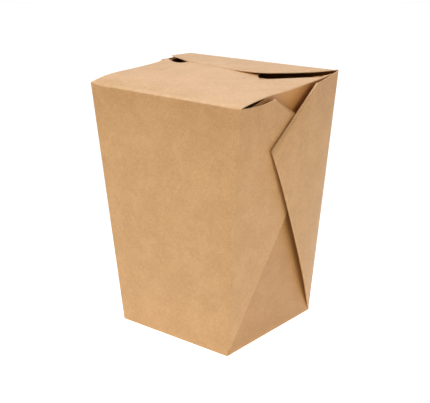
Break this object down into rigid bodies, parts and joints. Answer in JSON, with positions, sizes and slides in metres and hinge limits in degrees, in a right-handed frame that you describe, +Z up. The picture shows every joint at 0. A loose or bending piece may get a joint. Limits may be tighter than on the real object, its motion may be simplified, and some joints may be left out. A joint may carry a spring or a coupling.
{
  "type": "noodle takeaway box",
  "caption": "Tall tapered noodle takeaway carton of plain kraft board, shut, with crossed gussets on its side walls and a tongue tucked under the back flap.",
  "frame": {"origin": "middle of the carton's foot, on the surface that it stands on", "axes": "+Z up, -Y towards the front panel that carries the tongued flap, X across the two side walls that carry the gussets"},
  "size_m": [0.0994, 0.0776, 0.1324],
  "materials": {
    "kraft_board": "plain uncoated brown kraft board, matt, with fine fibres"
  },
  "bodies": {
    "root": {"carton": "kraft_board"}
  },
  "joints": []
}
